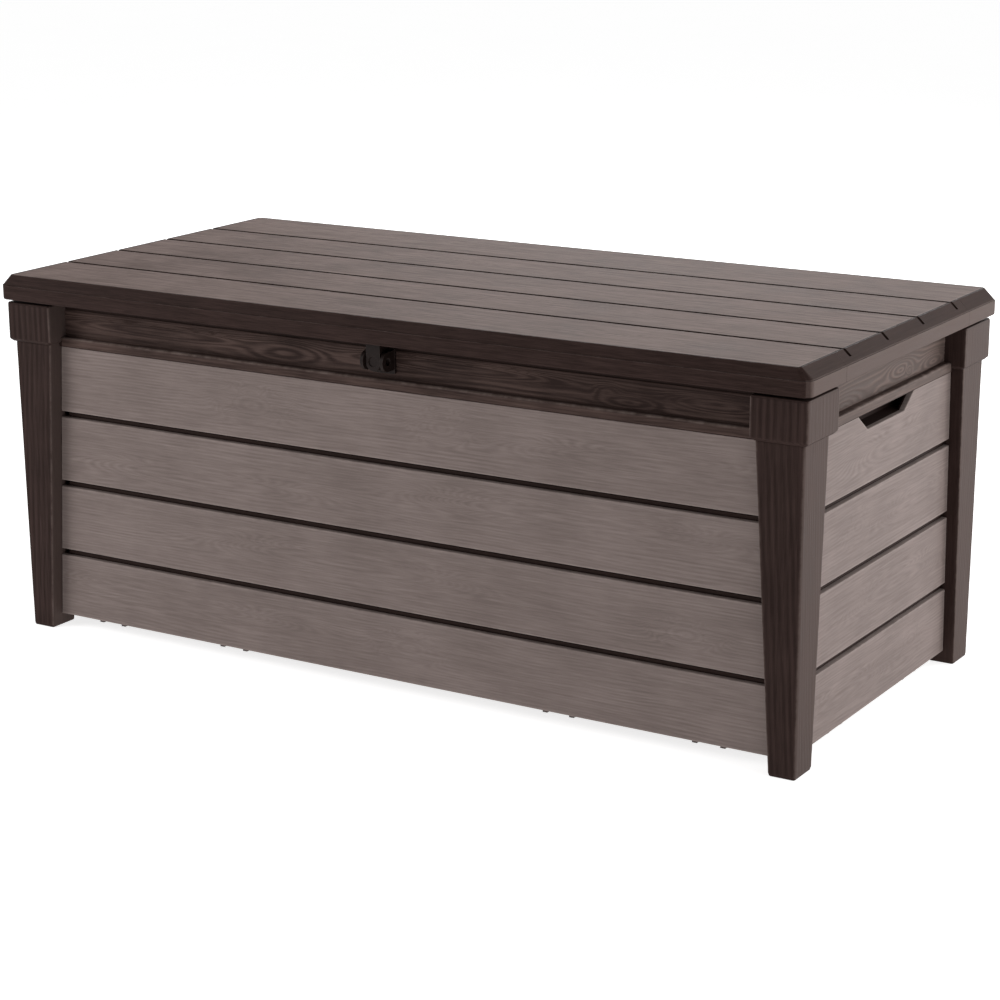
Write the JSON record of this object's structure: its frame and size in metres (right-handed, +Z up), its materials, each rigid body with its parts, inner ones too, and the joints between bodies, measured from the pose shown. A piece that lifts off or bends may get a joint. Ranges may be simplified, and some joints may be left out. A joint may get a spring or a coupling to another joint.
{
  "type": "deck storage box",
  "caption": "Resin deck storage box with plank-look walls, tapered corner legs, end handle recesses, a padlock bracket and a boarded rear-hinged lid on gas struts.",
  "frame": {"origin": "centre of the footprint at ground level", "axes": "+X along the box to the right-hand end, -Y the front with the lock, +Z up"},
  "size_m": [1.45, 0.697, 0.603],
  "materials": {
    "wall_plank": "matte wood-grain texture, taupe",
    "lid_board": "matte wood-grain texture, light taupe",
    "frame_plastic": "satin textured resin, dark brown",
    "inner_plastic": "plain satin resin, dark brown",
    "lock_plastic": "satin dark brown",
    "strut_tube": "satin black",
    "strut_rod": "polished",
    "bracket_steel": "satin black",
    "fastener_steel": "zinc plated"
  },
  "bodies": {
    "box": {"back_plank_1": "wall_plank", "back_plank_2": "wall_plank", "back_plank_3": "wall_plank", "back_plank_4": "wall_plank", "back_wall": "frame_plastic", "bracket_screws": "fastener_steel", "floor_panel": "inner_plastic", "front_left_leg": "frame_plastic", "front_plank_1": "wall_plank", "front_plank_2": "wall_plank", "front_plank_3": "wall_plank", "front_plank_4": "wall_plank", "front_right_leg": "frame_plastic", "front_wall": "frame_plastic", "left_handle_cup": "frame_plastic", "left_plank_1": "wall_plank", "left_plank_2": "wall_plank", "left_plank_3": "wall_plank", "left_plank_4": "wall_plank", "left_strut_wall_bracket": "bracket_steel", "left_wall": "frame_plastic", "leg_screws": "fastener_steel", "lock_bracket": "lock_plastic", "rear_left_leg": "frame_plastic", "rear_right_leg": "frame_plastic", "right_handle_cup": "frame_plastic", "right_plank_1": "wall_plank", "right_plank_2": "wall_plank", "right_plank_3": "wall_plank", "right_plank_4": "wall_plank", "right_strut_wall_bracket": "bracket_steel", "right_wall": "frame_plastic"},
    "lid": {"hinge_pins": "fastener_steel", "left_strut_lid_bracket": "bracket_steel", "lid_board_1": "lid_board", "lid_board_2": "lid_board", "lid_board_3": "lid_board", "lid_board_4": "lid_board", "lid_board_5": "lid_board", "lid_front_rim": "frame_plastic", "lid_liner": "inner_plastic", "lid_rear_rim": "frame_plastic", "lid_screws": "fastener_steel", "lid_shell": "frame_plastic", "lock_tongue": "lock_plastic", "right_strut_lid_bracket": "bracket_steel"},
    "left_strut_tube": {"left_strut_cylinder": "strut_tube"},
    "left_strut_shaft": {"left_strut_rod": "strut_rod"},
    "right_strut_tube": {"right_strut_cylinder": "strut_tube"},
    "right_strut_shaft": {"right_strut_rod": "strut_rod"}
  },
  "joints": [
    {"name": "lid_hinge", "type": "hinge", "parent": "box", "child": "lid", "pos_m": [0, 0.338, 0.568], "axis": [-1, 0, 0], "range_deg": [0, 80]},
    {"name": "left_strut_pivot", "type": "hinge", "parent": "lid", "child": "left_strut_tube", "pos_m": [-0.645, 0.256, 0.532], "axis": [1, 0, 0], "range_deg": [0, 80.53]},
    {"name": "left_strut_slide", "type": "slide", "parent": "left_strut_tube", "child": "left_strut_shaft", "axis": [0, -0.3123, -0.95], "range_m": [0, 0.11518]},
    {"name": "right_strut_pivot", "type": "hinge", "parent": "lid", "child": "right_strut_tube", "pos_m": [0.645, 0.256, 0.532], "axis": [1, 0, 0], "range_deg": [0, 80.53]},
    {"name": "right_strut_slide", "type": "slide", "parent": "right_strut_tube", "child": "right_strut_shaft", "axis": [0, -0.3123, -0.95], "range_m": [0, 0.11518]}
  ],
  "couplings": [
    {"joint": "left_strut_pivot", "follows": "lid_hinge", "ratio": 1.0065},
    {"joint": "left_strut_slide", "follows": "lid_hinge", "m_per_rad": 0.082422},
    {"joint": "right_strut_pivot", "follows": "lid_hinge", "ratio": 1.0065},
    {"joint": "right_strut_slide", "follows": "lid_hinge", "m_per_rad": 0.082422}
  ]
}
